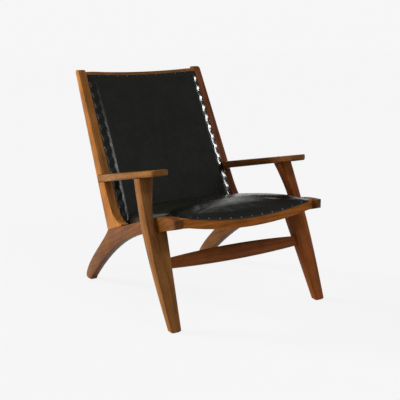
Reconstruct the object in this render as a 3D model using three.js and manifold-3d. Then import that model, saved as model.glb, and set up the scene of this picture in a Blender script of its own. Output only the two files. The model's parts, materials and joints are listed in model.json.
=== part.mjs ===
// Low easy chair: a hardwood frame with a padded leather seat and back nailed to it.
// Millimetres, +Z up. The sitter faces -Y and X = 0 is the middle of the chair.
// While the pieces are made, y = 0 is the front edge of the front feet.
import * as THREE from 'three';
import { mergeVertices } from 'three/addons/utils/BufferGeometryUtils.js';
import Module from 'manifold-3d';

const wasm = await Module();
wasm.setup();

const { degToRad, lerp, clamp } = THREE.MathUtils;
const tan = (degrees) => Math.tan(degToRad(degrees));
const sin = (degrees) => Math.sin(degToRad(degrees));
const cos = (degrees) => Math.cos(degToRad(degrees));
const point = (x, y, z) => new THREE.Vector3(x, y, z);

// Fits and edges
const fitGap = 0.3;
const edgeEase = 2.5;
const tenonLength = 14;
const tenonShoulder = 5;
const tenonEase = 1;
const dowelDiameter = 10;
const dowelDepth = 20;
const slimDowelDiameter = 8;
const roundSideCount = 20;
const acrossCount = 16;
const padCount = 8;

// Side frames: each is a sloping seat rail that sweeps down into the rear leg, with an upright on it
const boardThickness = 30;
const sideToe = 2.45;
const noseOuterX = 300;
const noseTipY = 2;
const noseRound = 13;
const noseCornerRound = 18;
const noseDrop = 31;
const noseHeight = 26.7;
const bendY = 160;
const railSlope = 18;
const kneeY = 507;
const kneeZ = 229;
const kneeReach = 57;
const kneeRake = 54;
const heelReach = 68;
const heelRake = 71;
const archStartY = 250;
const railDepth = 44.5;
const archReach = 130;
const rearLegReach = 190;
const rearLegRake = 44;
const rearLegSpread = 205;
const rearSoleLength = 24;
const rearLegThickness = 25;
const rearFootRound = 14;

// Back uprights
const recline = 28;
const uprightRootDepth = 71;
const uprightTopZ = 787;
const uprightTopDepth = 31;
const uprightTopRound = 9;
const uprightFootLength = 114;
const uprightToeHeight = 6;
const flareHeight = 205;
const flareReach = 125;
const flareToeReach = 70;
const jointDowelShare = [0.8, 0.32];

// Front legs: leaning boards, notched on the inside where the side rail passes
const legLean = 23.1;
const footSpread = 18;
const legBow = 9;
const footWidth = 37.5;
const shoulderWidth = 63.5;
const legTopWidth = 55;
const legFlarePower = 1.25;
const footDepth = 27;
const legDepth = 47;
const legTopDepth = 40;
const legEase = 5;
const soleEase = 4;
const legDowelInset = 15;

// Arms
const armFrontY = 110;
const armFrontZ = 508;
const armSlope = 10.6;
const armFrontThickness = 21;
const armRearThickness = 28;
const armSetIn = 3;
const armFrontWidth = 61;
const armCornerRound = 20;
const armEase = 5.5;
const lapDepth = 15;
const lapLength = 39;
const lapDowelDepth = 9;
const armDowelDepth = 13;

// Stretcher between the front legs, deeper in the middle
const stretcherTopZ = 217;
const stretcherHeight = 31.5;
const stretcherCrown = 9;
const stretcherBelly = 8;
const stretcherThickness = 20;
const stretcherSet = 13;

// Seat rails and cleats
const frontRailY = 14;
const frontRailThickness = 24;
const frontRailHeight = 32;
const frontRailDish = 25;
const frontRailRelief = 8;
const rearRailAhead = 51.5;
const rearRailThickness = 22;
const rearRailHeight = 20;
const supportDrop = 1;
const cleatHeight = 16;
const seatInset = 57;
const cleatLap = 26;

// Back frame: rails and stiles between the uprights, measured along the reclined back
const backFrameThickness = 20;
const backFrameSet = 1;
const backBow = 16;
const topRailDrop = 3;
const topRailHeight = 46;
const topRailReveal = 14;
const bottomRailLift = 33;
const bottomRailHeight = 42;

// Leather, foam, webbing and linings
const leather = 2;
const nailStrip = 12;
const frontStrip = 2;
const backPadRise = 21;
const backPadCrown = 6;
const padWall = 18;
const seatPadWall = 22;
const seatCrestY = 85;
const seatCrestRise = 13.1;
const seatRearRise = 41.5;
const seatFrontFall = 9;
const seatFallPower = 1.5;
const seatDishFront = 17;
const seatDishRear = 3;
const seatBackGap = 3;
const webWidth = 50;
const webThickness = 2;
const seatWebSag = 10;
const seatWebCount = 5;
const backWebCount = 4;
const lining = 1.2;
const foamInset = 4;
const foamSlack = 1.5;
const liningInset = 3;

// Colours
const railWood = '#8f6036';
const darkWood = '#6d4425';
const orangeWood = '#93602c';
const hiddenWood = '#b08a5a';
const dowelWood = '#c8a878';
const hide = '#1d1c19';
const foamColour = '#d9c9a3';
const webColour = '#3d372e';
const clothColour = '#191919';

// The rear foot follows the knee, where the side rail turns down.
const rearFootY = kneeY + rearLegSpread;

// Turns loose triangles into a closed, outward-facing geometry with shared vertices.
function closed(source) {
  const loose = new THREE.BufferGeometry();
  loose.setAttribute('position', source.getAttribute('position').clone());
  if (source.index) loose.setIndex(source.index.clone());
  const merged = mergeVertices(loose, 1e-3);
  const corners = Array.from(merged.index.array);
  const place = merged.getAttribute('position');
  const kept = [];
  let volume = 0;
  for (let i = 0; i < corners.length; i += 3) {
    const [a, b, c] = corners.slice(i, i + 3);
    if (a === b || b === c || c === a) continue;
    kept.push(a, b, c);
    const p = new THREE.Vector3().fromBufferAttribute(place, a);
    const q = new THREE.Vector3().fromBufferAttribute(place, b);
    const r = new THREE.Vector3().fromBufferAttribute(place, c);
    volume += p.dot(q.cross(r)) / 6;
  }
  if (volume < 0) {
    for (let i = 0; i < kept.length; i += 3) [kept[i], kept[i + 1]] = [kept[i + 1], kept[i]];
  }
  merged.setIndex(kept);
  return merged;
}

function solid(geometry) {
  const clean = closed(geometry);
  const vertProperties = new Float32Array(clean.getAttribute('position').array);
  const triVerts = new Uint32Array(clean.index.array);
  return new wasm.Manifold(new wasm.Mesh({ numProp: 3, vertProperties, triVerts }));
}

// Takes each cutter out of a piece.
function cut(geometry, cutters) {
  let body = solid(geometry);
  for (const cutter of cutters) body = body.subtract(solid(cutter));
  const mesh = body.getMesh();
  const result = new THREE.BufferGeometry();
  result.setAttribute('position', new THREE.BufferAttribute(mesh.vertProperties, 3));
  result.setIndex(Array.from(mesh.triVerts));
  return result;
}

function mirrored(geometry) {
  const copy = geometry.clone();
  copy.scale(-1, 1, 1);
  return closed(copy);
}

// Skins a list of rings that all have the same number of points.
function loft(rings) {
  const count = rings[0].length;
  const place = rings.flat().flatMap((p) => [p.x, p.y, p.z]);
  const faces = [];
  for (let i = 0; i + 1 < rings.length; i += 1) {
    for (let j = 0; j < count; j += 1) {
      const a = i * count + j;
      const b = i * count + ((j + 1) % count);
      faces.push(a, b, b + count, a, b + count, a + count);
    }
  }
  const last = (rings.length - 1) * count;
  for (let j = 1; j + 1 < count; j += 1) {
    faces.push(0, j + 1, j);
    faces.push(last, last + j, last + j + 1);
  }
  const result = new THREE.BufferGeometry();
  result.setAttribute('position', new THREE.Float32BufferAttribute(place, 3));
  result.setIndex(faces);
  return closed(result);
}

// Closes the space between an upper and a lower sheet of points with the same rows and columns.
function between(upper, lower) {
  const rows = upper.length;
  const columns = upper[0].length;
  const place = [...upper.flat(), ...lower.flat()].flatMap((p) => [p.x, p.y, p.z]);
  const under = rows * columns;
  const faces = [];
  const quad = (a, b, c, d) => faces.push(a, b, c, a, c, d);
  for (let i = 0; i + 1 < rows; i += 1) {
    for (let j = 0; j + 1 < columns; j += 1) {
      const a = i * columns + j;
      quad(a, a + 1, a + columns + 1, a + columns);
      quad(under + a, under + a + columns, under + a + columns + 1, under + a + 1);
    }
  }
  const rim = [];
  for (let j = 0; j < columns - 1; j += 1) rim.push(j);
  for (let i = 0; i < rows - 1; i += 1) rim.push(i * columns + columns - 1);
  for (let j = columns - 1; j > 0; j -= 1) rim.push((rows - 1) * columns + j);
  for (let i = rows - 1; i > 0; i -= 1) rim.push(i * columns);
  rim.forEach((a, k) => {
    const b = rim[(k + 1) % rim.length];
    quad(b, a, under + a, under + b);
  });
  const result = new THREE.BufferGeometry();
  result.setAttribute('position', new THREE.Float32BufferAttribute(place, 3));
  result.setIndex(faces);
  return closed(result);
}

// A rectangle with eased corners, as pairs of numbers, anticlockwise.
function easedRectangle(a0, a1, b0, b1, ease) {
  const corners = [[a1, b1, 0], [a0, b1, 90], [a0, b0, 180], [a1, b0, 270]];
  return corners.flatMap(([a, b, start]) => [0, 45, 90].map((turn) => [
    a + (cos(start + turn) - cos(start) - cos(start + 90)) * ease,
    b + (sin(start + turn) - sin(start) - sin(start + 90)) * ease,
  ]));
}

// Steps from one number to another, both ends included.
function steps(from, to, count) {
  return Array.from({ length: count + 1 }, (_, i) => lerp(from, to, i / count));
}

// Lines across a piece: its two ends, and even steps between two inner lines.
function acrossLines(half, edge, count) {
  return [-half, ...steps(-edge, edge, count), half];
}

// A board cut to a side outline (y, z), eased along its edges and turned to the side frame's toe.
// Its inner face may close in, so that the board is thinner at the rear foot than at the nose.
function sideBoard(shape, inset, thickness, ease, rearThickness = thickness) {
  const board = new THREE.ExtrudeGeometry(shape, {
    depth: thickness - 2 * ease,
    bevelEnabled: ease > 0,
    bevelThickness: ease,
    bevelSize: ease,
    bevelOffset: -ease,
    bevelSegments: 2,
    curveSegments: 12,
  });
  board.translate(0, 0, ease - inset - thickness);
  const place = board.getAttribute('position');
  for (let i = 0; i < place.count; i += 1) {
    const share = (place.getX(i) - noseTipY) / (rearFootY - noseTipY);
    place.setZ(i, place.getZ(i) * lerp(1, rearThickness / thickness, share));
  }
  board.applyMatrix4(new THREE.Matrix4().makeBasis(point(0, 1, 0), point(0, 0, 1), point(1, 0, 0)));
  board.translate(0, -noseTipY, 0);
  board.rotateZ(degToRad(sideToe));
  board.translate(noseOuterX, noseTipY, 0);
  return board;
}

// A round bar between two points.
function bar(from, to, diameter) {
  const axis = to.clone().sub(from);
  const round = new THREE.CylinderGeometry(diameter / 2, diameter / 2, axis.length(), roundSideCount);
  const turn = new THREE.Quaternion().setFromUnitVectors(point(0, 1, 0), axis.clone().normalize());
  round.applyQuaternion(turn);
  const middle = from.clone().add(to).multiplyScalar(0.5);
  round.translate(middle.x, middle.y, middle.z);
  return closed(round);
}

// The hole that a bar needs: a clearance wider all round and longer at both ends.
function bore(from, to, diameter) {
  const extra = to.clone().sub(from).setLength(fitGap);
  return bar(from.clone().sub(extra), to.clone().add(extra), diameter + 2 * fitGap);
}

// Faces of the side frames
const boardSpan = boardThickness / cos(sideToe);
const outerX = (y) => noseOuterX - tan(sideToe) * (y - noseTipY);
const innerX = (y) => outerX(y) - boardSpan;
function railInnerX(y) {
  const share = (y - noseTipY) / (rearFootY - noseTipY);
  return outerX(y) - boardSpan * lerp(1, rearLegThickness / boardThickness, share);
}

// Edges of the side rail
function railTop(y) {
  const ahead = Math.max(0, (bendY - y) / bendY);
  return kneeZ + (kneeY - y) * tan(railSlope) - noseDrop * ahead * ahead;
}
const noseBottomZ = railTop(0) - noseHeight;
const archStartZ = railTop(archStartY) - railDepth;
const railBottom = (y) => lerp(noseBottomZ, archStartZ, y / archStartY);

// Front edge of the uprights, which rises from the knee and is also the plane of the back
const backLineY = (z) => kneeY - uprightRootDepth + (z - kneeZ) * tan(recline);
const uprightTopY = backLineY(uprightTopZ);
const backPoint = (x, along, ahead) => point(
  x,
  uprightTopY + along * sin(recline) - ahead * cos(recline),
  uprightTopZ + along * cos(recline) + ahead * sin(recline),
);
const backAlong = (z) => (z - uprightTopZ) / cos(recline);

// Levels and places that the back and the seat take from the knee and the nose
const bottomRailZ = kneeZ + bottomRailLift;
const rearRailY = backLineY(bottomRailZ) - rearRailAhead;
const seatHalf = noseOuterX - seatInset;

// Front legs
const footOuterX = noseOuterX + footSpread;
const footInnerX = footOuterX - footWidth;
const shoulderInnerX = footOuterX - shoulderWidth;
const legTopInnerX = footOuterX - legTopWidth;
const legFront = (z) => z * tan(legLean);
const shoulderZ = railBottom(legFront(archStartZ));
const legInner = (z) => lerp(footInnerX, shoulderInnerX, z / shoulderZ);

// Arms
const armFrontOuterX = footOuterX - armSetIn;
const armFrontInnerX = armFrontOuterX - armFrontWidth;
const lapFrontY = backLineY(armFrontZ - (backLineY(armFrontZ) - armFrontY) * tan(armSlope));
const lapEndY = lapFrontY + lapLength;
const armTop = (y) => armFrontZ - (y - armFrontY) * tan(armSlope);
function armBottom(y) {
  const share = (y - armFrontY) / (lapEndY - armFrontY);
  return armTop(y) - lerp(armFrontThickness, armRearThickness, share);
}

const chair = new THREE.Group();

function add(name, geometry, color, roughness) {
  const material = new THREE.MeshStandardMaterial({ color, roughness, metalness: 0 });
  const mesh = new THREE.Mesh(closed(geometry), material);
  mesh.name = name;
  chair.add(mesh);
}

// Adds a piece made for the right-hand side (+X) and its mirror image.
function addPair(name, geometry, color, roughness) {
  add(`right_${name}`, geometry, color, roughness);
  add(`left_${name}`, mirrored(geometry), color, roughness);
}

const woodRoughness = 0.42;
const hideRoughness = 0.34;
const clothRoughness = 0.95;

// Outline of the side rail and rear leg
function railShape() {
  const round = Math.min(noseRound, noseHeight / 2 - fitGap);
  const nose = noseTipY + round;
  const shape = new THREE.Shape();
  shape.moveTo(nose, railBottom(nose));
  shape.quadraticCurveTo(noseTipY, railBottom(noseTipY), noseTipY, railBottom(noseTipY) + round);
  shape.lineTo(noseTipY, railTop(noseTipY) - round);
  shape.quadraticCurveTo(noseTipY, railTop(noseTipY), nose, railTop(nose));
  for (const y of steps(nose, bendY, 6).slice(1)) shape.lineTo(y, railTop(y));
  shape.lineTo(kneeY, kneeZ);
  shape.bezierCurveTo(
    kneeY + kneeReach * cos(kneeRake), kneeZ - kneeReach * sin(kneeRake),
    rearFootY - heelReach * cos(heelRake), rearFootRound + heelReach * sin(heelRake),
    rearFootY, rearFootRound,
  );
  shape.quadraticCurveTo(rearFootY, 0, rearFootY - rearFootRound, 0);
  const soleFrontY = rearFootY - rearFootRound - rearSoleLength;
  shape.lineTo(soleFrontY, 0);
  const ankleY = soleFrontY - rearFootRound;
  shape.quadraticCurveTo(soleFrontY - rearFootRound / 2, 0, ankleY, rearFootRound);
  const underSlope = (noseBottomZ - archStartZ) / archStartY;
  shape.bezierCurveTo(
    ankleY - rearLegReach * cos(rearLegRake), rearFootRound + rearLegReach * sin(rearLegRake),
    archStartY + archReach, archStartZ - archReach * underSlope,
    archStartY, archStartZ,
  );
  return shape;
}

// Outline of a back upright, standing on the rear of the side rail
function uprightShape() {
  const shape = new THREE.Shape();
  const uprightToeY = kneeY - uprightFootLength;
  const flareTopZ = kneeZ + flareHeight;
  const seat = (y) => railTop(y) + fitGap / cos(railSlope);
  const rearTopY = uprightTopY + uprightTopDepth;
  const toeZ = seat(uprightToeY) + uprightToeHeight;
  shape.moveTo(kneeY, seat(kneeY));
  shape.lineTo(uprightToeY, seat(uprightToeY));
  shape.lineTo(uprightToeY, toeZ);
  shape.bezierCurveTo(
    uprightToeY + flareToeReach, toeZ,
    backLineY(flareTopZ) - flareReach * sin(recline), flareTopZ - flareReach * cos(recline),
    backLineY(flareTopZ), flareTopZ,
  );
  const roundZ = uprightTopZ - uprightTopRound;
  shape.lineTo(backLineY(roundZ), roundZ);
  const crownZ = uprightTopZ + edgeEase;
  shape.quadraticCurveTo(uprightTopY, uprightTopZ, uprightTopY + uprightTopRound, crownZ);
  shape.lineTo(rearTopY - uprightTopRound, crownZ);
  shape.quadraticCurveTo(rearTopY, uprightTopZ, rearTopY - edgeEase, roundZ);
  return shape;
}

const inset = ([a0, a1, b0, b1], by) => [a0 + by, a1 - by, b0 + by, b1 - by];

// A rail across the chair. Its section [a0, a1, b0, b1] may change along it; place turns (a, b) into
// (y, z), and limit gives the half-length at a point, where the rail's shoulder stops.
function crossRail({ section, place, limit, tenon, stations, ease }) {
  function ring(t, [a0, a1, b0, b1], round, extra) {
    return easedRectangle(a0, a1, b0, b1, round).map(([a, b]) => {
      const [y, z] = place(a, b);
      return point(t * limit(y, z) + Math.sign(t) * extra, y, z);
    });
  }
  const middle = stations.map((t) => ring(t, section(t), ease, 0));
  if (!tenon) return loft(middle);
  const tongue = (t, extra) => ring(t, tenon, tenonEase, extra);
  return loft([
    tongue(-1, tenonLength), tongue(-1, 0), ...middle, tongue(1, 0), tongue(1, tenonLength),
  ]);
}

// The mortise for the right-hand tenon of such a rail
function mortise({ place, limit, tenon }) {
  const [a0, a1, b0, b1] = inset(tenon, -fitGap);
  const ring = (extra) => easedRectangle(a0, a1, b0, b1, tenonEase).map(([a, b]) => {
    const [y, z] = place(a, b);
    return point(limit(y, z) + extra, y, z);
  });
  return loft([ring(-tenonShoulder), ring(tenonLength + fitGap)]);
}

const insideFrame = (y) => innerX(y) - fitGap;
const insideRail = (y) => railInnerX(y) - fitGap;
// A dip of 1 in the middle that dies out at a distance from it
const dip = (x, half) => Math.max(0, 1 - (x / half) ** 2);

// Front seat rail: dished under the leather, its face relieved where it meets the side rails
const frontRailHalf = insideRail(frontRailY);
const frontRailBackY = frontRailY + frontRailThickness;
const frontRailTop = (x) => railTop(frontRailBackY) - supportDrop - frontRailDish * dip(x, seatHalf);
function frontRailFace(x) {
  const share = clamp((Math.abs(x) - seatHalf) / (frontRailHalf - seatHalf), 0, 1);
  return frontRailY + frontRailRelief * share;
}
const frontRail = {
  section: (t) => {
    const top = frontRailTop(t * frontRailHalf);
    const face = frontRailFace(t * frontRailHalf);
    return [face, frontRailBackY, top - frontRailHeight, top];
  },
  place: (a, b) => [a, b],
  limit: insideRail,
  stations: acrossLines(1, seatHalf / frontRailHalf, acrossCount),
  ease: edgeEase,
};
frontRail.tenon = inset(frontRail.section(1), tenonShoulder);

// Rear seat rail
const rearRailTop = railTop(rearRailY + rearRailThickness) - supportDrop;
const rearRail = {
  section: () => [rearRailY, rearRailY + rearRailThickness, rearRailTop - rearRailHeight, rearRailTop],
  place: (a, b) => [a, b],
  limit: insideRail,
  stations: [-1, 1],
  ease: edgeEase,
};
rearRail.tenon = inset(rearRail.section(1), tenonShoulder);

// Level of the seat's support: the front rail's top, then the cleats with the webbing sagging between them
const cleatEdge = seatHalf - cleatLap;
function seatBase(x, y) {
  if (y <= frontRailBackY) return frontRailTop(x);
  const behind = clamp((y - frontRailBackY) / (rearRailY - frontRailBackY), 0, 1);
  return railTop(y) - supportDrop - lerp(frontRailDish, seatWebSag, behind) * dip(x, cleatEdge);
}

// Back rails, bowed to the rear between the stiles
const stileEdge = (y) => insideFrame(y) - fitGap - nailStrip - padWall;
const bowAt = (x, y) => backBow * dip(x, stileEdge(y));
const backPlace = (a, b) => {
  const spot = backPoint(0, b, a);
  return [spot.y, spot.z];
};
function backRail(low, height) {
  const [lowY] = backPlace(0, low);
  const section = (t) => {
    const face = -backFrameSet - bowAt(t * insideFrame(lowY), lowY);
    return [face - backFrameThickness, face, low, low + height];
  };
  const stations = acrossLines(1, stileEdge(lowY) / insideFrame(lowY), acrossCount);
  const rail = { section, place: backPlace, limit: insideFrame, stations, ease: edgeEase };
  rail.tenon = inset(section(1), tenonShoulder);
  return rail;
}
const topRail = backRail(-topRailDrop - topRailHeight, topRailHeight);
const bottomRail = backRail(backAlong(bottomRailZ), bottomRailHeight);

// Stretcher, square to the leaning legs: a runs behind their front face, b is the height on its own face
function stretcherPlace(a, b) {
  const along = (b + stretcherSet * sin(legLean)) / cos(legLean);
  return [along * sin(legLean) + a * cos(legLean), along * cos(legLean) - a * sin(legLean)];
}
const stretcher = {
  section: (t) => {
    const swell = 1 - t * t;
    const top = stretcherTopZ + stretcherCrown * swell;
    const low = stretcherTopZ - stretcherHeight - stretcherBelly * swell;
    return [stretcherSet, stretcherSet + stretcherThickness, low, top];
  },
  place: stretcherPlace,
  limit: (y, z) => legInner(z) - fitGap,
  stations: steps(-1, 1, acrossCount),
  ease: edgeEase,
};
stretcher.tenon = inset(stretcher.section(1), tenonShoulder);

// Dowels of the right-hand side
const jointLevel = sin(railSlope);
const jointDirection = point(-jointLevel * sin(sideToe), jointLevel * cos(sideToe), cos(railSlope));
const jointDowels = jointDowelShare.map((share) => {
  const y = kneeY - share * uprightRootDepth;
  const middle = point((outerX(y) + railInnerX(y)) / 2, y, railTop(y) + fitGap / 2);
  const reach = jointDirection.clone().multiplyScalar(dowelDepth);
  return [middle.clone().sub(reach), middle.clone().add(reach), dowelDiameter];
});
const legDowels = [0, 1].map((upper) => {
  const guessY = legFront(shoulderZ) + legDepth / 2;
  const z = upper ? railTop(guessY) - legDowelInset : railBottom(guessY) + legDowelInset;
  const y = legFront(z) + legDepth / 2;
  const within = slimDowelDiameter;
  return [point(railInnerX(y) + within, y, z), point(footOuterX - within, y, z), slimDowelDiameter];
});
const armDowelX = (footOuterX + legTopInnerX) / 2;
const armDowelY = legFront(armBottom(legFront(armFrontZ))) + legTopDepth / 2;
const armDowelZ = armBottom(armDowelY);
const armDowel = [
  point(armDowelX, armDowelY - dowelDepth * sin(legLean), armDowelZ - dowelDepth * cos(legLean)),
  point(armDowelX, armDowelY + armDowelDepth * sin(legLean), armDowelZ + armDowelDepth * cos(legLean)),
  dowelDiameter,
];
const lapDowelY = (lapFrontY + lapEndY) / 2;
const lapDowelZ = (armTop(lapDowelY) + armBottom(lapDowelY)) / 2;
const lapFace = (y) => outerX(y) - lapDepth;
const lapDowel = [
  point(lapFace(lapDowelY) - lapDowelDepth, lapDowelY, lapDowelZ),
  point(lapFace(lapDowelY) + lapDowelDepth, lapDowelY, lapDowelZ),
  slimDowelDiameter,
];

// Side rails with their rear legs. The corner cutter rounds the nose's outer edge, seen from above.
function noseCorner() {
  const backY = noseTipY + noseCornerRound;
  const insideX = outerX(backY) - noseCornerRound;
  const clearX = noseOuterX + noseCornerRound;
  const clearY = noseTipY - noseCornerRound;
  const shape = new THREE.Shape();
  shape.moveTo(insideX, noseTipY);
  shape.absarc(insideX, backY, noseCornerRound, degToRad(-90), 0, false);
  shape.lineTo(clearX, backY);
  shape.lineTo(clearX, clearY);
  shape.lineTo(insideX, clearY);
  const corner = new THREE.ExtrudeGeometry(shape, { depth: noseBottomZ, bevelEnabled: false });
  return corner.translate(0, 0, noseBottomZ / 2);
}
const sideRail = sideBoard(railShape(), 0, boardThickness, edgeEase, rearLegThickness);
addPair('side_rail', cut(sideRail, [
  noseCorner(),
  mortise(frontRail),
  mortise(rearRail),
  ...jointDowels.map((dowel) => bore(...dowel)),
  ...legDowels.map((dowel) => bore(...dowel)),
]), railWood, woodRoughness);

// Back uprights, each notched on its outside for the arm's lap
function lapNotch() {
  const ring = (y) => [
    [lapFace(y) - fitGap, armBottom(y) - fitGap],
    [outerX(y) + boardThickness, armBottom(y) - fitGap],
    [outerX(y) + boardThickness, armTop(y) + fitGap],
    [lapFace(y) - fitGap, armTop(y) + fitGap],
  ].map(([x, z]) => point(x, y, z));
  return loft([ring(lapFrontY - lapLength), ring(lapEndY + fitGap)]);
}
addPair('back_upright', cut(sideBoard(uprightShape(), 0, boardThickness, edgeEase), [
  mortise(topRail),
  mortise(bottomRail),
  ...jointDowels.map((dowel) => bore(...dowel)),
  lapNotch(),
  bore(...lapDowel),
]), darkWood, woodRoughness);

// Front leg: eased rectangles lofted up the lean, then cut where the side rail passes inside it
const legTopZ = armBottom(armDowelY);
function frontLeg() {
  const flareZ = railTop(legFront(shoulderZ)) + fitGap;
  const cheekX = outerX(legFront(flareZ)) + fitGap;
  const outer = (z) => footOuterX + legBow * Math.sin((Math.PI * z) / legTopZ);
  function inner(z) {
    if (z < shoulderZ) return legInner(z);
    if (z < flareZ) return lerp(shoulderInnerX, cheekX, (z - shoulderZ) / (flareZ - shoulderZ));
    return cheekX - (cheekX - legTopInnerX) * ((z - flareZ) / (legTopZ - flareZ)) ** legFlarePower;
  }
  function depth(z) {
    if (z < shoulderZ) return lerp(footDepth, legDepth, z / shoulderZ);
    return lerp(legDepth, legTopDepth, (z - shoulderZ) / (legTopZ - shoulderZ));
  }
  const ring = (z, shrink) => easedRectangle(
    inner(z) + shrink, outer(z) - shrink, shrink, depth(z) - shrink, legEase,
  ).map(([x, behind]) => point(x, legFront(z) + behind, z));
  const belowArm = ring(legTopZ, 0).map(({ x, y }) => {
    const z = armBottom(y + (armBottom(y) - legTopZ) * tan(legLean)) - fitGap;
    return point(x, y + (z - legTopZ) * tan(legLean), z);
  });
  const lower = steps(soleEase, shoulderZ, 6);
  const upper = steps(flareZ, legTopZ - armRearThickness, 5);
  return loft([ring(0, soleEase), ...[...lower, ...upper].map((z) => ring(z, 0)), belowArm]);
}
function railNotch() {
  const topZ = railTop(legFront(shoulderZ)) + fitGap;
  const seat = (y) => railBottom(y + boardThickness * sin(sideToe)) - fitGap;
  const ring = (y) => [
    [innerX(y) - boardThickness, seat(y)],
    [outerX(y) + fitGap, seat(y)],
    [outerX(y) + fitGap, topZ],
    [innerX(y) - boardThickness, topZ],
  ].map(([x, z]) => point(x, y, z));
  const frontY = legFront(shoulderZ);
  return loft([ring(frontY - legDepth), ring(frontY + 2 * legDepth)]);
}
addPair('front_leg', cut(frontLeg(), [
  railNotch(),
  mortise(stretcher),
  ...legDowels.map((dowel) => bore(...dowel)),
  bore(...armDowel),
]), darkWood, woodRoughness);

// Arm: a paddle that narrows to the rear, where its outer half laps the upright
function armBoard() {
  const legY = legFront(legTopZ);
  function outer(y) {
    if (y > lapFrontY) return outerX(y);
    const share = clamp((lapFrontY - y) / (lapFrontY - legY), 0, 1);
    return lerp(outerX(lapFrontY), armFrontOuterX, sin(90 * share));
  }
  function inner(y) {
    if (y > lapFrontY) return innerX(y);
    return lerp(armFrontInnerX, innerX(lapFrontY), (y - armFrontY) / (lapFrontY - armFrontY));
  }
  const ring = (y, side, height) => easedRectangle(
    inner(y) + side, outer(y) - side, armBottom(y) + height, armTop(y) - height, armEase,
  ).map(([x, z]) => point(x, y, z));
  const nose = steps(0, 90, 5).map((turn) => {
    const behind = armCornerRound * (1 - cos(turn));
    const height = (armEase / 2) * Math.max(0, 1 - behind / armEase) ** 2;
    return ring(armFrontY + behind, armCornerRound * (1 - sin(turn)), height);
  });
  const body = steps(armFrontY + armCornerRound, lapEndY, 14).slice(1).map((y) => ring(y, 0, 0));
  return loft([...nose, ...body]);
}
const uprightHalf = sideBoard(uprightShape(), lapDepth, boardThickness, 0);
const uprightAhead = uprightHalf.clone().translate(0, -fitGap, 0);
const uprightBehind = uprightHalf.clone().translate(0, lapLength / 2, 0);
addPair('arm', cut(armBoard(), [
  uprightAhead,
  uprightBehind,
  bore(...armDowel),
  bore(...lapDowel),
]), darkWood, woodRoughness);

// Rails across the chair
add('front_stretcher', crossRail(stretcher), darkWood, woodRoughness);
add('seat_front_rail', crossRail(frontRail), orangeWood, woodRoughness);
add('seat_rear_rail', crossRail(rearRail), hiddenWood, woodRoughness);
add('back_top_rail', crossRail(topRail), orangeWood, woodRoughness);
add('back_bottom_rail', crossRail(bottomRail), hiddenWood, woodRoughness);

// Where the lines of the seat run across, from the end of the front roll to the start of the rear one
const seatCrestZ = railTop(frontRailBackY) - supportDrop + seatCrestRise;
const seatRearZ = rearRailTop + seatRearRise;
const backPadDepth = (backPadRise + backPadCrown + leather + fitGap) / cos(recline);
const seatRearY = backLineY(seatRearZ) - backPadDepth - seatBackGap;
const rollEndY = frontRailBackY + fitGap;
const seatRows = steps(rollEndY, seatRearY - seatPadWall, 9);

// Cleats along the insides of the side rails carry the webbing and the edges of the seat leather.
const cleatRows = (end) => [
  frontRailBackY + end,
  ...seatRows.filter((y) => y > frontRailBackY + liningInset && y < rearRailY - liningInset),
  rearRailY - end,
];
function cleat() {
  const sheet = (drop) => cleatRows(fitGap).map((y) => {
    const edges = [cleatEdge, insideRail(y)];
    return edges.map((x) => point(x, y, railTop(y) - drop));
  });
  return between(sheet(supportDrop), sheet(supportDrop + cleatHeight));
}
addPair('seat_cleat', cleat(), hiddenWood, woodRoughness);

// Stiles along the insides of the uprights do the same for the back.
const stileLow = backAlong(bottomRailZ) + bottomRailHeight + fitGap;
const stileHigh = -topRailDrop - topRailHeight - fitGap;
function stile() {
  const sheet = (ahead) => [stileLow, stileHigh].map((along) => {
    const { y } = backPoint(0, along, ahead);
    return [stileEdge(y), insideFrame(y)].map((x) => backPoint(x, along, ahead));
  });
  return between(sheet(-backFrameSet), sheet(-backFrameSet - backFrameThickness));
}
addPair('back_stile', stile(), hiddenWood, woodRoughness);

// Webbing: straps from cleat to cleat and from stile to stile
const webInset = nailStrip + 2 * leather;
function seatWeb(middle) {
  const rows = [middle - webWidth / 2, middle, middle + webWidth / 2];
  const sheet = (lift) => rows.map((y) => {
    const lines = acrossLines(seatHalf - webInset, cleatEdge, acrossCount);
    return lines.map((x) => point(x, y, seatBase(x, y) + lift));
  });
  return between(sheet(fitGap + webThickness), sheet(fitGap));
}
steps(frontRailBackY, rearRailY, seatWebCount + 1).slice(1, -1).forEach((y, i) => {
  add(`seat_web_${i + 1}`, seatWeb(y), webColour, clothRoughness);
});
function backWeb(middle) {
  const rows = [middle - webWidth / 2, middle + webWidth / 2];
  const sheet = (lift) => rows.map((along) => {
    const { y } = backPoint(0, along, 0);
    const lines = acrossLines(insideFrame(y) - webInset, stileEdge(y), acrossCount);
    return lines.map((x) => backPoint(x, along, lift - backFrameSet - bowAt(x, y)));
  });
  return between(sheet(fitGap + webThickness), sheet(fitGap));
}
steps(stileLow, stileHigh, backWebCount + 1).slice(1, -1).forEach((along, i) => {
  add(`back_web_${i + 1}`, backWeb(along), webColour, clothRoughness);
});

// How far a pad has risen at a distance from the edge of its leather: flat strip, round wall, full height
function rise(distance, wall) {
  const share = clamp((distance - nailStrip) / wall, 0, 1);
  return Math.sqrt(1 - (1 - share) ** 2);
}
// Distances from an edge at which the pad's surface needs a line
function wallLines(wall) {
  const climb = [25, 50, 90].map((turn) => nailStrip + wall * (1 - cos(turn)));
  return [0, nailStrip, ...climb];
}
// Lines across a pad of a given half-width: both edges and even steps between them
function padLines(half, wall, count) {
  const edge = wallLines(wall).map((distance) => half - distance);
  const flat = edge[edge.length - 1];
  return [...edge.map((x) => -x), ...steps(-flat, flat, count).slice(1, -1), ...edge.reverse()];
}

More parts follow.
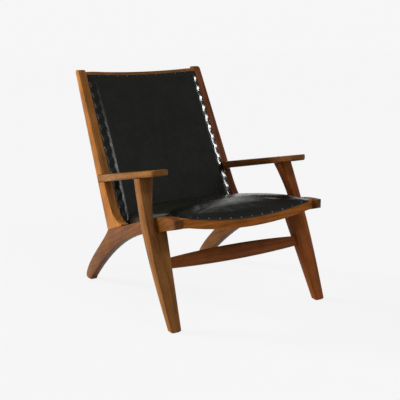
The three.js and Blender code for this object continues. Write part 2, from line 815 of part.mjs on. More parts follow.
// Back pad
const backLow = backAlong(bottomRailZ) + fitGap;
const backHigh = -topRailDrop - topRailReveal;
const backMiddle = (backLow + backHigh) / 2;
const backHalf = (backHigh - backLow) / 2;
const backEdge = (along) => insideFrame(backPoint(0, along, 0).y) - fitGap;
// Height of the pad ahead of the back frame. Under is the depth below the leather's outer face.
function backSurface(x, along, under) {
  const { y } = backPoint(0, along, 0);
  const half = backEdge(along);
  const shareX = rise(half - Math.abs(x) - under, padWall);
  const shareV = rise(backHalf - Math.abs(along - backMiddle) - under, padWall);
  const crown = backPadCrown * (1 - (x / half) ** 2) * (1 - ((along - backMiddle) / backHalf) ** 2);
  const base = fitGap - backFrameSet;
  return base + leather - under + shareX * shareV * (backPadRise + crown) - bowAt(x, y);
}
function backLeather() {
  const rows = padLines(backHalf, padWall, padCount);
  const sheet = (under) => rows.map((offset) => {
    const along = backMiddle + offset;
    const lines = padLines(backEdge(along), padWall, padCount);
    return lines.map((x) => backPoint(x, along, backSurface(x, along, under)));
  });
  return between(sheet(0), sheet(leather));
}
add('back_leather', backLeather(), hide, hideRoughness);
function backFoam() {
  const trim = nailStrip + leather + foamInset;
  const upper = (x, along) => backSurface(x, along, leather + foamSlack);
  const lower = (x, along) => {
    const base = 2 * fitGap + webThickness - backFrameSet;
    return base - bowAt(x, backPoint(0, along, 0).y);
  };
  const sheet = (height) => steps(trim - backHalf, backHalf - trim, padCount).map((offset) => {
    const along = backMiddle + offset;
    const { y } = backPoint(0, along, 0);
    const lines = steps(-stileEdge(y), stileEdge(y), padCount);
    return lines.map((x) => backPoint(x, along, height(x, along)));
  });
  return between(sheet(upper), sheet(lower));
}
add('back_foam', backFoam(), foamColour, clothRoughness);
function backLining() {
  const rows = [bottomRail.section(0)[2] + liningInset, topRail.section(0)[3] - liningInset];
  const sheet = (behind) => rows.map((along) => {
    const { y } = backPoint(0, along, 0);
    const face = -backFrameSet - backFrameThickness - fitGap - behind;
    const lines = acrossLines(insideFrame(y) - liningInset, stileEdge(y), acrossCount);
    return lines.map((x) => backPoint(x, along, face - bowAt(x, y)));
  });
  return between(sheet(0), sheet(lining));
}
add('back_lining', backLining(), clothColour, clothRoughness);

// Seat pad
function seatTop(x, y) {
  const rearY = backLineY(seatRearZ);
  const behind = Math.max(0, y - seatCrestY) / (rearY - seatCrestY);
  const ahead = Math.max(0, seatCrestY - y) / (seatCrestY - frontRailY);
  const fall = (seatCrestZ - seatRearZ) * behind ** seatFallPower + seatFrontFall * ahead * ahead;
  const dish = lerp(seatDishFront, seatDishRear, clamp(y / rearRailY, 0, 1));
  return seatCrestZ - fall - dish * dip(x, cleatEdge);
}
const rearStripY = rearRailY + rearRailThickness + fitGap;

// Height of the seat between its support and its top, at a depth under the leather's outer face
function seatHeight(x, y, share, under) {
  return lerp(seatBase(x, y) + fitGap + leather - under, seatTop(x, y) - under, share);
}
// Lines of the seat leather from the strip on the front rail to the strip on the rear rail
function seatLines(under) {
  const skin = leather - under;
  const frontY = (x) => frontRailFace(x) - fitGap - skin;
  const rearY = rearStripY + skin;
  const lines = [{ y: frontY, z: (x) => frontRailTop(x) - frontStrip }];
  for (const turn of [0, 25, 50, 90]) {
    lines.push({ y: (x) => lerp(frontY(x), rollEndY, 1 - cos(turn)), share: sin(turn) });
  }
  for (const y of seatRows.slice(1)) lines.push({ y: () => y, share: 1 });
  for (const turn of [50, 20]) {
    const y = seatRearY - under - seatPadWall * (1 - cos(turn));
    lines.push({ y: () => y, share: (1 + sin(turn)) / 2 });
  }
  lines.push({ y: () => rearY, share: 0 });
  lines.push({ y: () => rearY, z: () => rearRailTop - nailStrip });
  return lines;
}
function seatLeather() {
  const sheet = (under) => seatLines(under).map((line) => {
    return padLines(seatHalf, seatPadWall, padCount).map((x) => {
      const y = line.y(x);
      const share = line.share * rise(seatHalf - Math.abs(x) - under, seatPadWall);
      return point(x, y, line.z ? line.z(x) : seatHeight(x, y, share, under));
    });
  });
  return between(sheet(0), sheet(leather));
}
add('seat_leather', seatLeather(), hide, hideRoughness);
function seatFoam() {
  const frontY = rollEndY + foamInset;
  const rearY = Math.min(rearStripY - foamInset, seatRearY - seatPadWall);
  const under = leather + foamSlack;
  const stepY = rearRailY - fitGap;
  const rows = [...steps(frontY, stepY - foamSlack, padCount), stepY, rearY];
  function upper(x, y) {
    const share = rise(seatHalf - Math.abs(x) - under, seatPadWall);
    return Math.max(seatHeight(x, y, share, under) - foamSlack, lower(x, y) + fitGap);
  }
  function lower(x, y) {
    const onWeb = seatBase(x, y) + fitGap + webThickness + foamSlack;
    return y < stepY ? onWeb : Math.max(onWeb, rearRailTop + fitGap);
  }
  const sheet = (height) => rows.map((y) => {
    const lines = steps(-cleatEdge, cleatEdge, padCount);
    return lines.map((x) => point(x, y, height(x, y)));
  });
  return between(sheet(upper), sheet(lower));
}
add('seat_foam', seatFoam(), foamColour, clothRoughness);
function seatLining() {
  const sheet = (drop) => cleatRows(liningInset).map((y) => {
    const lines = acrossLines(insideRail(y) - liningInset, cleatEdge, acrossCount);
    return lines.map((x) => point(x, y, seatBase(x, y) - cleatHeight - fitGap - drop));
  });
  return between(sheet(0), sheet(lining));
}
add('seat_lining', seatLining(), clothColour, clothRoughness);

// Loose dowels inside the joints
const addDowel = (name, dowel) => addPair(name, bar(...dowel), dowelWood, woodRoughness);
jointDowels.forEach((dowel, i) => addDowel(`upright_dowel_${i + 1}`, dowel));
legDowels.forEach((dowel, i) => addDowel(`leg_dowel_${i + 1}`, dowel));
addDowel('arm_dowel', armDowel);
addDowel('arm_lap_dowel', lapDowel);

const box = new THREE.Box3().setFromObject(chair);
chair.position.y = -(box.min.y + box.max.y) / 2;
chair.name = 'easy_chair';
export default chair;
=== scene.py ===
import json
import math

import bpy
import numpy as np
from mathutils import Matrix, Quaternion, Vector
from mathutils.bvhtree import BVHTree

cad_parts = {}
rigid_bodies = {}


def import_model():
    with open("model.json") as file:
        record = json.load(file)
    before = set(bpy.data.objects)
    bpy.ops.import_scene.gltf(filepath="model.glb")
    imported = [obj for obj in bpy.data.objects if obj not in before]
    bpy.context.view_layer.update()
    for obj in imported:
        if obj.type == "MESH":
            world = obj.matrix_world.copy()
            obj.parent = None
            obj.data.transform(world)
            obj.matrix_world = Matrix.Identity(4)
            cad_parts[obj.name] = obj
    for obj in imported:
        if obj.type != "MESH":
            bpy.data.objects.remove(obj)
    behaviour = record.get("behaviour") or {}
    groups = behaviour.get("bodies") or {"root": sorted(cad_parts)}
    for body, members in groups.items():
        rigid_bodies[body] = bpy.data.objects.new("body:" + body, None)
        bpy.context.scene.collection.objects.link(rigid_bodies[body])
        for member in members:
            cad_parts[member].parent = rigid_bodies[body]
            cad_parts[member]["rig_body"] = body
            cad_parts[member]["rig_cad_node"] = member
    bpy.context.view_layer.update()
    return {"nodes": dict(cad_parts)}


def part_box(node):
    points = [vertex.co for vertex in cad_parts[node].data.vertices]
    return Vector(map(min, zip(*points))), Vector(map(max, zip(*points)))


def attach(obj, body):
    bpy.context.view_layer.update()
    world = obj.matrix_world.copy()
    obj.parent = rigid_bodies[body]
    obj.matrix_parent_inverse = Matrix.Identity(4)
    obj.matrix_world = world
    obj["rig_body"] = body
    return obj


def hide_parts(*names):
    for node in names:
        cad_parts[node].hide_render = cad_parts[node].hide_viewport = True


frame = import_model()
nodes = frame["nodes"]

# All lengths are in metres.

# The chair's own measures, as its solids have them
RECLINE = math.radians(28)
BACK_TOP_Y, BACK_TOP_Z = 0.35035, 0.787
LEG_LEAN = math.radians(23.1)
ARM_SLOPE = math.radians(10.6)
LEATHER = 0.002
SEAT_HALF = 0.243
BACK_FLUSH = 0.0013
BACK_BOW = 0.016
BOW_MARGIN = 0.03
# The grain of a side rail runs between the slope of its front and that of its rear leg.
RAIL_GRAIN_SLOPE = math.radians(25.2)

# Back padding: its height over the nailed strip and its crown, where its wall starts and ends from the
# leather's edge, how far both waver between nails, how round foot and crest are, and how far the leather
# goes on below the solid
PAD_RISE = 0.010
PAD_CROWN = 0.006
WALL_START = 0.0068
WALL_END = 0.0205
WALL_WAVE = 0.0036
CREST_WAVE = 0.0012
CREST_ROUND = 0.20
BACK_TUCK = 0.032

# Seat padding: how far its middle stands over the solid, the half-width and the depth over which that
# fades, the half-width that follows the solid, the width of the rounded sides, and how far the rear edge
# follows the back's bow, from which share of the depth on
SEAT_LIFT = 0.014
SEAT_LIFT_HALF = 0.26
SEAT_LIFT_DEPTH = 0.1
SEAT_FLAT = 0.2
SEAT_ROUND = 0.08
SEAT_FOLLOW = 0.0175
FOLLOW_START = 0.7

# Seat edge: how far inside its ends levels are read, the depth of its front corners, and small gaps
FRONT_INSET = 0.014
REAR_INSET = 0.012
CORNER_DEPTH = 0.05
RAIL_GAP = 0.0015
BED_GAP = 0.0003
END_GAP = 2e-5

# Panels: cells, how much closer they lie toward the edges and at the front roll, and what the cloth holds
BACK_COLUMNS, BACK_ROWS = 132, 150
SEAT_COLUMNS, SEAT_ROWS = 128, 104
EDGE_CLOSENESS = 0.25
ROLL_CLOSENESS = 0.35
BACK_HELD = 0.004
NAIL_HELD = 0.002
SEAT_HELD = 0.012
# The cloth's pressure and the most that it may move a point
BACK_SWELL = (1.0, 0.0016)
SEAT_SWELL = (1.4, 0.003)
CLOTH_STEPS = 20

# Nails: their radius and how flat the dome is, how far they stand in from the leather's edge and from one
# another, how high the front row stands, and where the side rows end before the seat's rear
NAIL_RADIUS = 0.0028
NAIL_FLATNESS = 0.62
NAIL_INSET = 0.0055
NAIL_PITCH = 0.0425
FRONT_NAIL_RISE = 0.0045
LAST_NAIL = 0.03

# Rays start this far off a surface, and above the seat at this level. A ray that falls into the gap of a
# joint is moved aside, and edges are read just inside.
RAY_AWAY = 0.2
RAY_LEVEL = 0.6
RAY_ASIDE = 0.0008
JUST_INSIDE = 0.001

# Shading is smooth over edges up to these angles, in degrees.
WOOD_SMOOTH = 32
LINING_SMOOTH = 40
NAIL_SMOOTH = 50

# A wave texture of scale 1 repeats after this length.
WAVE_REPEAT = 0.314

# What the lamps face
CHAIR_MIDDLE = Vector((0, 0, 0.45))

# The camera, found from the photograph's perspective
CAMERA_PLACE = (-1.64617, -2.55767, 0.96624)
CAMERA_AZIMUTH = math.radians(-33.389)
CAMERA_ELEVATION = math.radians(11.822)
CAMERA_LENS = 76.745


# Small helpers

def linear(hex_colour):
    """An sRGB hex colour as the linear numbers that a shader takes."""
    parts = [int(hex_colour[i:i + 2], 16) / 255 for i in (1, 3, 5)]
    return [c / 12.92 if c <= 0.04045 else ((c + 0.055) / 1.055) ** 2.4 for c in parts] + [1.0]


def put(tree, kind, settings=None, **inputs):
    """Adds a node. An input is a value, or an output socket of another node to link from, and n2 means the
    input with the number 2. The two stops of a colour ramp are settings, as (place, colour)."""
    made = tree.nodes.new(kind)
    for name, value in (settings or {}).items():
        if name == "stops":
            for point, (place, colour) in zip(made.color_ramp.elements, value):
                point.position = place
                point.color = colour
        else:
            setattr(made, name, value)
    for name, value in inputs.items():
        key = int(name[1:]) if name[0] == "n" and name[1:].isdigit() else name.replace("_", " ")
        if isinstance(value, bpy.types.NodeSocket):
            tree.links.new(value, made.inputs[key])
        else:
            made.inputs[key].default_value = value
    return made


def new_material(name):
    made = bpy.data.materials.new(name)
    made.use_nodes = True
    made.node_tree.nodes.clear()
    return made, made.node_tree


def close_material(tree, shader):
    put(tree, "ShaderNodeOutputMaterial", None, Surface=shader.outputs[0])


def dress(piece, material):
    piece.data.materials.clear()
    piece.data.materials.append(material)


def only(piece):
    """Makes one object the active and the only selected one."""
    bpy.ops.object.select_all(action="DESELECT")
    piece.select_set(True)
    bpy.context.view_layer.objects.active = piece


def clamp(value, low, high):
    return max(low, min(high, value))


def smooth_step(share):
    return share * share * (3 - 2 * share)


# Materials

def stained_hardwood(name, tone, along, heart):
    """Hardwood stained to walnut under a satin varnish: cloudy streaks that run with the board, a few
    darker growth lines about 16 mm apart where the board crosses them, short dark pores, a soft sheen."""
    material, tree = new_material(name)
    place = put(tree, "ShaderNodeTexCoord").outputs["Object"]
    turn = Vector(along).normalized().rotation_difference(Vector((1, 0, 0))).to_euler()
    shift = turn.to_matrix() @ Vector(heart)
    board = put(tree, "ShaderNodeMapping", None, Vector=place, Rotation=turn, Location=-shift).outputs[0]
    # Everything is stretched nine times along the board, and wanders a little from straight.
    grain = put(tree, "ShaderNodeVectorMath", {"operation": "MULTIPLY"}, n0=board,
                n1=(1 / 9, 1, 1)).outputs[0]
    drift = put(tree, "ShaderNodeTexNoise", None, Vector=grain, Scale=1 / 0.035,
                Detail=2.0).outputs["Color"]
    grain = put(tree, "ShaderNodeVectorMath", {"operation": "MULTIPLY_ADD"}, n0=drift,
                n1=(0.03, 0.012, 0.012), n2=grain).outputs[0]
    rings = put(tree, "ShaderNodeTexWave", {"wave_type": "RINGS", "rings_direction": "X"}, Vector=grain,
                Scale=WAVE_REPEAT / 0.016, Distortion=2.0, Detail=2.0).outputs["Fac"]
    lines = put(tree, "ShaderNodeMapRange", None, Value=rings, From_Min=0.02, From_Max=0.4, To_Min=0.0,
                To_Max=1.0).outputs[0]
    # Streaks of 11 mm, pores of 1.6 mm and clouds of 90 mm
    streaks = put(tree, "ShaderNodeTexNoise", None, Vector=grain, Scale=1 / 0.011, Detail=6.0,
                  Roughness=0.62).outputs["Fac"]
    pores = put(tree, "ShaderNodeTexNoise", None, Vector=grain, Scale=1 / 0.0016, Detail=2.0).outputs["Fac"]
    cloud = put(tree, "ShaderNodeTexNoise", None, Vector=board, Scale=1 / 0.09, Detail=3.0).outputs["Fac"]
    figure = put(tree, "ShaderNodeMix", None, Factor=0.45, n2=streaks, n3=cloud).outputs[0]
    deep, pale = ([share * c for c in linear(tone)[:3]] + [1.0] for share in (0.62, 1.30))
    tones = ((0.36, deep), (0.64, pale))
    figured = put(tree, "ShaderNodeValToRGB", {"stops": tones}, Fac=figure).outputs[0]
    ring_shade = put(tree, "ShaderNodeMapRange", None, Value=lines, To_Min=0.78, To_Max=1.0).outputs[0]
    pore_shade = put(tree, "ShaderNodeMapRange", None, Value=pores, From_Min=0.30, From_Max=0.48,
                     To_Min=0.70, To_Max=1.0).outputs[0]
    shade = put(tree, "ShaderNodeMath", {"operation": "MULTIPLY"}, n0=ring_shade, n1=pore_shade).outputs[0]
    colour = put(tree, "ShaderNodeMix", {"data_type": "RGBA", "blend_type": "MULTIPLY"}, n0=1.0, n6=figured,
                 n7=shade).outputs[2]
    sheen = put(tree, "ShaderNodeMapRange", None, Value=streaks, From_Min=0.3, From_Max=0.7, To_Min=0.34,
                To_Max=0.50).outputs[0]
    relief = put(tree, "ShaderNodeBump", None, Strength=0.3, Distance=0.0003, Height=pores).outputs[0]
    close_material(tree, put(tree, "ShaderNodeBsdfPrincipled", None, Base_Color=colour, Roughness=sheen,
                             Normal=relief, Specular_IOR_Level=0.10))
    return material


def black_leather():
    """Pigmented cowhide with a pressed grain: near black, cells of about 2 mm, soft creases, and a wax
    finish that turns bright at a low angle."""
    material, tree = new_material("pigmented_cowhide_black")
    place = put(tree, "ShaderNodeTexCoord").outputs["Object"]
    cells = put(tree, "ShaderNodeTexVoronoi", {"feature": "SMOOTH_F1"}, Vector=place, Scale=1 / 0.0022,
                Smoothness=0.4).outputs["Distance"]
    # Creases of 30 mm, and wear over 110 mm
    creases = put(tree, "ShaderNodeTexNoise", None, Vector=place, Scale=1 / 0.03, Detail=6.0,
                  Roughness=0.6, Distortion=0.6).outputs["Fac"]
    rub = put(tree, "ShaderNodeTexNoise", None, Vector=place, Scale=1 / 0.11, Detail=3.0).outputs["Fac"]
    tones = ((0.30, linear("#11110d")), (0.72, linear("#1a1a14")))
    tone = put(tree, "ShaderNodeValToRGB", {"stops": tones}, Fac=rub).outputs[0]
    gloss = put(tree, "ShaderNodeMapRange", None, Value=creases, From_Min=0.3, From_Max=0.7, To_Min=0.20,
                To_Max=0.32).outputs[0]
    folds = put(tree, "ShaderNodeBump", None, Strength=0.10, Distance=0.002, Height=creases).outputs[0]
    relief = put(tree, "ShaderNodeBump", {"invert": True}, Strength=0.09, Distance=0.0004, Height=cells,
                 Normal=folds).outputs[0]
    close_material(tree, put(tree, "ShaderNodeBsdfPrincipled", None, Base_Color=tone, Roughness=gloss,
                             Normal=relief, IOR=1.45, Specular_IOR_Level=0.32))
    return material


def burnished_steel():
    """Domed upholstery nails of burnished steel: grey-brown, spotted by wear every 4 mm, with a glint."""
    material, tree = new_material("burnished_steel")
    place = put(tree, "ShaderNodeTexCoord").outputs["Object"]
    wear = put(tree, "ShaderNodeTexNoise", None, Vector=place, Scale=1 / 0.004, Detail=3.0).outputs["Fac"]
    tones = ((0.35, linear("#4a443a")), (0.75, linear("#8f8676")))
    tone = put(tree, "ShaderNodeValToRGB", {"stops": tones}, Fac=wear).outputs[0]
    close_material(tree, put(tree, "ShaderNodeBsdfPrincipled", None, Base_Color=tone, Metallic=1.0,
                             Roughness=0.36))
    return material


def woven(name, dark, light, thread):
    """Plain-woven cloth or strap: crossed threads that stand up a little, and no gloss."""
    material, tree = new_material(name)
    place = put(tree, "ShaderNodeTexCoord").outputs["Object"]
    weft = put(tree, "ShaderNodeTexWave", {"bands_direction": "X"}, Vector=place,
               Scale=WAVE_REPEAT / thread, Distortion=0.4).outputs["Fac"]
    # The other threads run at a slant through space, so that they show on a piece that faces any way.
    warp = put(tree, "ShaderNodeTexWave", {"bands_direction": "DIAGONAL"}, Vector=place,
               Scale=WAVE_REPEAT / thread / 1.7, Distortion=0.4).outputs["Fac"]
    weave = put(tree, "ShaderNodeMath", {"operation": "MULTIPLY"}, n0=weft, n1=warp).outputs[0]
    tones = ((0.05, linear(dark)), (0.8, linear(light)))
    tone = put(tree, "ShaderNodeValToRGB", {"stops": tones}, Fac=weave).outputs[0]
    relief = put(tree, "ShaderNodeBump", None, Strength=0.5, Distance=thread / 3, Height=weave).outputs[0]
    close_material(tree, put(tree, "ShaderNodeBsdfPrincipled", None, Base_Color=tone, Roughness=0.92,
                             Normal=relief, Specular_IOR_Level=0.2))
    return material


leather = black_leather()
nail_steel = burnished_steel()
# Threads of 0.5 mm would not show, so the cambric's are drawn 1.6 mm apart and the webbing's 3 mm.
cambric = woven("black_cambric", "#0d0d0d", "#1f1f1f", 0.0016)
webbing = woven("jute_webbing", "#3a3226", "#6b5c45", 0.003)
beech = stained_hardwood("bare_beech", "#b8925f", (0, 1, 0), (0.2, 0, 0.3))


# Wooden pieces: a merged, smoothly shaded copy of each solid, with the grain along its board

def copy_of(node_name, name, smooth_angle, quads=False):
    """A copy of a solid with its points merged, shaded smooth over edges up to an angle in degrees."""
    only(nodes[node_name])
    bpy.ops.object.duplicate()
    piece = bpy.context.active_object
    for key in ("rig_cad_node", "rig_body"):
        del piece[key]
    piece.parent = None
    piece.name = name
    piece.data.name = name
    bpy.ops.object.mode_set(mode="EDIT")
    bpy.ops.mesh.select_all(action="SELECT")
    bpy.ops.mesh.remove_doubles(threshold=1e-5)
    bpy.ops.mesh.customdata_custom_splitnormals_clear()
    if quads:
        bpy.ops.mesh.tris_convert_to_quads()
    bpy.ops.object.mode_set(mode="OBJECT")
    bpy.ops.object.shade_smooth_by_angle(angle=math.radians(smooth_angle))
    return piece


def wood_piece(node_name, tone, along, heart):
    piece = copy_of(node_name, node_name + "_wood", WOOD_SMOOTH)
    dress(piece, stained_hardwood(piece.name, tone, along, heart))
    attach(piece, "root")
    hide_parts(node_name)


up_back = (0, math.sin(RECLINE), math.cos(RECLINE))
up_leg = (0, math.sin(LEG_LEAN), math.cos(LEG_LEAN))
down_arm = (0, math.cos(ARM_SLOPE), -math.sin(ARM_SLOPE))
down_rail = (0, math.cos(RAIL_GRAIN_SLOPE), -math.sin(RAIL_GRAIN_SLOPE))
across = (1, 0, 0)
# Each piece has its own stain tone. The darker tones of the two side rails and of the right back upright
# are partly the wood's own tone and partly painted shade.
wood_piece("left_side_rail", "#73441c", down_rail, (-0.27, 0, 0.05))
wood_piece("right_side_rail", "#6e4420", down_rail, (0.33, 0, 0.10))
wood_piece("left_back_upright", "#ab6d30", up_back, (-0.33, 0.1, 0.0))
wood_piece("right_back_upright", "#834a2b", up_back, (0.21, 0.05, 0.0))
wood_piece("left_front_leg", "#915e2f", up_leg, (-0.36, -0.5, 0.0))
wood_piece("right_front_leg", "#995424", up_leg, (0.24, -0.5, 0.0))
wood_piece("left_arm", "#895a28", down_arm, (-0.33, 0, 0.40))
wood_piece("right_arm", "#85522a", down_arm, (0.27, 0, 0.40))
wood_piece("front_stretcher", "#8a4c22", across, (0, -0.24, 0.12))
wood_piece("seat_front_rail", "#ab6322", across, (0, -0.30, 0.24))
wood_piece("back_top_rail", "#936030", across, (0, 0.42, 0.70))
for name in nodes:
    if name.endswith(("cleat", "stile", "rear_rail", "bottom_rail")) or "dowel" in name:
        dress(nodes[name], beech)
    elif "_web_" in name:
        dress(nodes[name], webbing)


# Leather panels: grids of points over the padding, blown up a little by cloth and given their thickness

def surface_of(*pieces):
    """The faces of some pieces, to send rays at."""
    points, faces = [], []
    for piece in pieces:
        mesh = piece.data
        faces += [[len(points) + v for v in p.vertices] for p in mesh.polygons]
        points += [v.co for v in mesh.vertices]
    return BVHTree.FromPolygons(points, faces)


def back_point(x, along, ahead):
    """A point on the reclined back: along it from the top, and ahead of the uprights' front edge."""
    return Vector((
        x,
        BACK_TOP_Y + along * math.sin(RECLINE) - ahead * math.cos(RECLINE),
        BACK_TOP_Z + along * math.cos(RECLINE) + ahead * math.sin(RECLINE),
    ))


def spread(count):
    """Numbers from -1 to 1 that lie closer together toward the ends."""
    evenly = (2 * i / count - 1 for i in range(count + 1))
    return [(1 + EDGE_CLOSENESS) * t - EDGE_CLOSENESS * t ** 3 for t in evenly]


def sheet_from(rows, name):
    """A grid mesh from rows of points that all have the same count."""
    count = len(rows[0])
    faces = []
    for i in range(len(rows) - 1):
        for j in range(count - 1):
            a = i * count + j
            faces.append((a, a + 1, a + 1 + count, a + count))
    mesh = bpy.data.meshes.new(name)
    mesh.from_pydata([p for row in rows for p in row], [], faces)
    piece = bpy.data.objects.new(name, mesh)
    bpy.context.scene.collection.objects.link(piece)
    return piece


def swell(piece, held, pressure, cap):
    """Blows a held sheet up a little as the padding under it does, and keeps each point within cap."""
    rest = np.array([v.co for v in piece.data.vertices])
    group = piece.vertex_groups.new(name="held")
    group.add([i for i, is_held in enumerate(held) if is_held], 1.0, "REPLACE")
    only(piece)
    bpy.ops.object.modifier_add(type="CLOTH")
    cloth = piece.modifiers[-1]
    settings = cloth.settings
    settings.quality = 6
    settings.mass = 0.4
    settings.tension_stiffness = 40
    settings.compression_stiffness = 40
    settings.shear_stiffness = 20
    settings.bending_stiffness = 6
    settings.vertex_group_mass = "held"
    settings.use_pressure = True
    settings.uniform_pressure_force = pressure
    settings.effector_weights.gravity = 0
    cloth.collision_settings.use_collision = False
    scene = bpy.context.scene
    for step in range(1, CLOTH_STEPS + 1):
        scene.frame_set(step)
    shaped = piece.evaluated_get(bpy.context.evaluated_depsgraph_get())
    moved = np.array([v.co for v in shaped.data.vertices]) - rest
    length = np.linalg.norm(moved, axis=1, keepdims=True)
    moved *= np.minimum(1, cap / np.maximum(length, 1e-9))
    bpy.ops.object.modifier_remove(modifier=cloth.name)
    scene.frame_set(1)
    piece.data.vertices.foreach_set("co", (rest + moved).ravel())
    piece.data.update()
    piece.vertex_groups.clear()


def upholster(piece, replaced):
    """Gives the leather its thickness and a smooth finish, and hands it to the frame."""
    only(piece)
    bpy.ops.object.modifier_add(type="SOLIDIFY")
    piece.modifiers[-1].thickness = LEATHER
    piece.modifiers[-1].offset = -1
    bpy.ops.object.modifier_apply(modifier=piece.modifiers[-1].name)
    bpy.ops.object.modifier_add(type="SUBSURF")
    piece.modifiers[-1].levels = 1
    piece.modifiers[-1].render_levels = 1
    bpy.ops.object.modifier_apply(modifier=piece.modifiers[-1].name)
    bpy.ops.object.shade_smooth()
    dress(piece, leather)
    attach(piece, "root")
    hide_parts(*replaced)


def at_nail(place, first):
    """1 at a nail of a row and 0 halfway to the next one."""
    return 0.5 + 0.5 * math.cos(2 * math.pi * (place - first) / NAIL_PITCH)


def wall_rise(distance, near):
    """Share of the padding's height at a distance from the leather's edge. The wall starts later at a nail
    and sooner between nails. It is straight, with a rounded foot and crest."""
    start = WALL_START + WALL_WAVE * (2 * near - 1)
    end = WALL_END + CREST_WAVE * (2 * near - 1)
    share = (distance - start) / (end - start)
    return 0.5 + (math.hypot(share, CREST_ROUND) - math.hypot(share - 1, CREST_ROUND)) / 2


# Back panel
back_surface = surface_of(nodes["back_leather"])
ahead_way = Vector((0, -math.cos(RECLINE), math.sin(RECLINE)))


def on_back(x, along):
    return back_surface.ray_cast(back_point(x, along, RAY_AWAY), -ahead_way)[0] is not None


def edge_of(test, inside, outside):
    """Where a test stops holding between two numbers."""
    for _ in range(24):
        middle = (inside + outside) / 2
        inside, outside = (middle, outside) if test(middle) else (inside, middle)
    return inside


# Each edge of the solid lies between a place on it and a place beyond it.
back_end = edge_of(lambda v: on_back(0, v), -0.3, 0.02)
back_start = edge_of(lambda v: on_back(0, v), -0.3, -0.75)
back_half_low = edge_of(lambda x: on_back(x, back_start + JUST_INSIDE), 0.1, 0.3)
back_half_high = edge_of(lambda x: on_back(x, back_end - JUST_INSIDE), 0.1, 0.3)
# The leather goes on below the pad's solid, behind the seat, where it turns under the bottom rail.
back_low = back_start - BACK_TUCK
first_side_nail = back_end - NAIL_INSET - NAIL_PITCH
first_top_nail = NAIL_PITCH / 2


def back_half(along):
    share = (along - back_start) / (back_end - back_start)
    return back_half_low + (back_half_high - back_half_low) * share


def bow_at(x, half):
    """Share of the back's bow: 1 in the middle and 0 near the uprights."""
    return max(0, 1 - (x / (half - BOW_MARGIN)) ** 2)


def back_ahead(x, along):
    """Height of the back leather ahead of the uprights' front edge."""
    half = back_half(along)
    from_side, from_top, from_low = half - abs(x), back_end - along, along - back_low
    rise = (wall_rise(from_side, at_nail(along, first_side_nail))
            * wall_rise(from_top, at_nail(x, first_top_nail)) * wall_rise(from_low, 0.5))
    middle = (2 * along - back_start - back_end) / (back_end - back_start)
    crown = PAD_CROWN * (1 - (x / half) ** 2) * max(0, 1 - middle ** 2)
    return BACK_FLUSH + rise * (PAD_RISE + crown) - BACK_BOW * bow_at(x, half)


def back_nails():
    """Places of the nails, down both sides and then along the top."""
    sides = []
    along = first_side_nail
    while along > back_start + 2 * NAIL_INSET:
        sides += [(side * (back_half(along) - NAIL_INSET), along) for side in (-1, 1)]
        along -= NAIL_PITCH
    count = int((back_half_high - NAIL_INSET - first_top_nail) / NAIL_PITCH)
    top = [first_top_nail + NAIL_PITCH * k for k in range(-count - 1, count + 1)]
    return sides, [(x, back_end - NAIL_INSET) for x in top]


def back_panel():
    rows, held = [], []
    nail_places = np.array([back_point(x, v, back_ahead(x, v)) for row in back_nails() for x, v in row])
    for up in spread(BACK_ROWS):
        along = (back_low + back_end) / 2 + (back_end - back_low) / 2 * up
        half = back_half(along)
        row = []
        for x in (half * side for side in spread(BACK_COLUMNS)):
            point = back_point(x, along, back_ahead(x, along))
            near_edge = min(half - abs(x), back_end - along, along - back_low) < BACK_HELD
            nail_distance = np.min(np.linalg.norm(nail_places - np.array(point), axis=1))
            held.append(near_edge or nail_distance < NAIL_RADIUS + NAIL_HELD)
            row.append(point)
        rows.append(row)
    piece = sheet_from(rows, "back_pad")
    swell(piece, held, *BACK_SWELL)
    upholster(piece, ["back_leather", "back_foam"])
    return piece


back_pad = back_panel()

# Seat panel
seat_low, seat_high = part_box("seat_leather")
seat_surface = surface_of(nodes["seat_leather"])
bed_names = ("right_seat_cleat", "left_seat_cleat", "seat_front_rail", "seat_rear_rail")
bed_surface = surface_of(*(nodes[name] for name in bed_names))
front_rail_surface = surface_of(nodes["seat_front_rail"])
rail_surface = surface_of(nodes["right_side_rail"])
front_y, rear_y = seat_low.y + END_GAP, seat_high.y - END_GAP
down = Vector((0, 0, -1))


def top_of(surface, x, y):
    """Level of a surface under a point."""
    for aside in (0, RAY_ASIDE, -RAY_ASIDE):
        hit = surface.ray_cast(Vector((x, y + aside, RAY_LEVEL)), down)[0]
        if hit is not None:
            return hit.z


def seat_edge(y):
    """Half-width of the seat leather, which runs out to the side rails behind its front corners."""
    inside = clamp(y, front_y + FRONT_INSET, rear_y - REAR_INSET)
    start = Vector((0, inside, top_of(bed_surface, SEAT_HALF, inside) - JUST_INSIDE))
    inner = rail_surface.ray_cast(start, Vector((1, 0, 0)))[0].x - RAIL_GAP
    share = clamp((y - front_y) / CORNER_DEPTH, 0, 1)
    return SEAT_HALF + (inner - SEAT_HALF) * share * (2 - share)


def seat_z(x, y):
    """Top of the seat: the padding, which rounds down at both sides to the strip on the cleats."""
    inside = clamp(y, front_y + FRONT_INSET, rear_y - REAR_INSET)
    strip = top_of(bed_surface, math.copysign(max(abs(x), SEAT_HALF), x), inside) + LEATHER + BED_GAP
    flat = clamp(x, -SEAT_FLAT, SEAT_FLAT)
    behind = clamp((y - front_y) / SEAT_LIFT_DEPTH, 0, 1)
    lift = SEAT_LIFT * (1 - (flat / SEAT_LIFT_HALF) ** 2) * smooth_step(behind)
    top = top_of(seat_surface, flat, y) + lift
    share = clamp((SEAT_HALF - abs(x)) / SEAT_ROUND, 0, 1)
    return strip + (top - strip) * math.sqrt(1 - (1 - share) ** 2)


def front_edge(x):
    """Lower edge of the leather on the front rail."""
    return top_of(front_rail_surface, x, front_y + FRONT_INSET) - LEATHER


def seat_row(y, height):
    half = seat_edge(y)
    return [Vector((x, y, height(x, y))) for x in (half * side for side in spread(SEAT_COLUMNS))]


